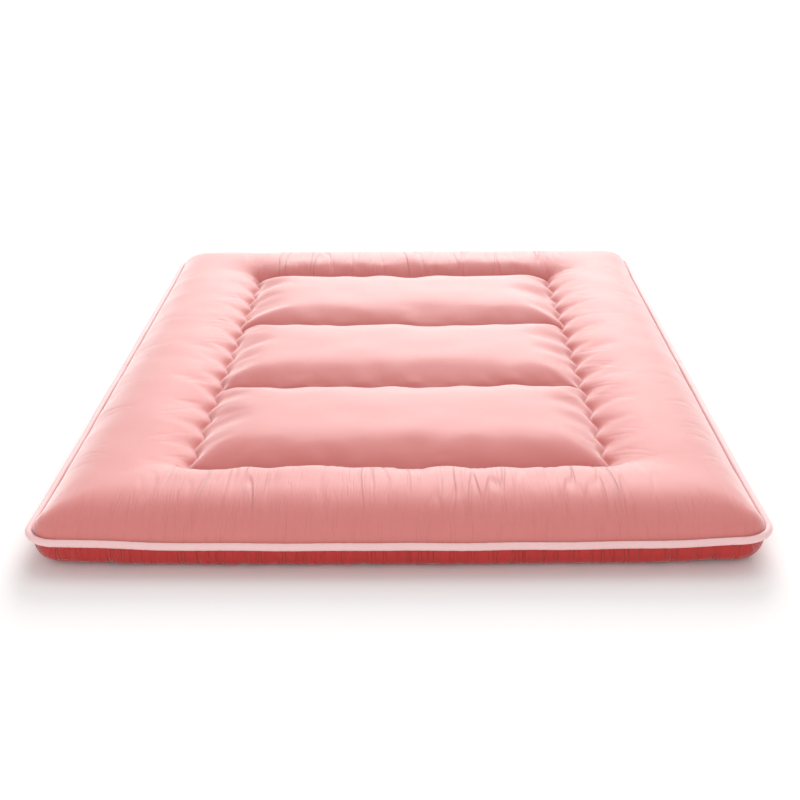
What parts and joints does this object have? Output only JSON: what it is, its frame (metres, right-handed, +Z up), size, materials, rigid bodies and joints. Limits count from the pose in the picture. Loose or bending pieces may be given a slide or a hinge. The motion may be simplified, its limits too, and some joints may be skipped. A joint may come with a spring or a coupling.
{
  "type": "futon mattress",
  "caption": "Thick quilted futon mattress with a puffy border ring around stitched centre pads, piped edge, folding in sections at its cross seams",
  "frame": {"origin": "on the floor under the middle of the flat mattress", "axes": "X across the width, +Y along the length towards the head end, +Z up"},
  "size_m": [1.5, 2, 0.12],
  "materials": {
    "cover_cotton": "matte",
    "piping_cotton": "matte",
    "piping_cord": "matte",
    "wadding": "matte",
    "core_batt": "matte",
    "sewing_thread": "matte"
  },
  "bodies": {
    "head": {"head_bottom_cover": "cover_cotton", "head_centre_pad": "wadding", "head_core_batt": "core_batt", "head_end_roll": "wadding", "head_left_roll": "wadding", "head_lower_batt": "wadding", "head_piping_cord": "piping_cord", "head_piping_tape": "piping_cotton", "head_quilt_thread": "sewing_thread", "head_right_roll": "wadding", "head_seam_thread": "sewing_thread", "head_top_cover": "cover_cotton"},
    "middle": {"foot_cross_seam_thread": "sewing_thread", "head_cross_seam_thread": "sewing_thread", "middle_bottom_cover": "cover_cotton", "middle_centre_pad": "wadding", "middle_core_batt": "core_batt", "middle_left_piping_cord": "piping_cord", "middle_left_piping_tape": "piping_cotton", "middle_left_roll": "wadding", "middle_lower_batt": "wadding", "middle_quilt_thread": "sewing_thread", "middle_right_piping_cord": "piping_cord", "middle_right_piping_tape": "piping_cotton", "middle_right_roll": "wadding", "middle_seam_thread": "sewing_thread", "middle_top_cover": "cover_cotton"},
    "foot": {"foot_bottom_cover": "cover_cotton", "foot_centre_pad": "wadding", "foot_core_batt": "core_batt", "foot_end_roll": "wadding", "foot_left_roll": "wadding", "foot_lower_batt": "wadding", "foot_piping_cord": "piping_cord", "foot_piping_tape": "piping_cotton", "foot_quilt_thread": "sewing_thread", "foot_right_roll": "wadding", "foot_seam_thread": "sewing_thread", "foot_top_cover": "cover_cotton"}
  },
  "joints": [
    {"name": "middle_fold", "type": "hinge", "parent": "head", "child": "middle", "pos_m": [0, 0.235, 0.122], "axis": [-1, 0, 0], "range_deg": [0, 179]},
    {"name": "foot_fold", "type": "hinge", "parent": "middle", "child": "foot", "pos_m": [0, -0.235, -0.002], "axis": [1, 0, 0], "range_deg": [0, 179]}
  ],
  "couplings": [
    {"joint": "foot_fold", "follows": "middle_fold", "ratio": 1}
  ]
}
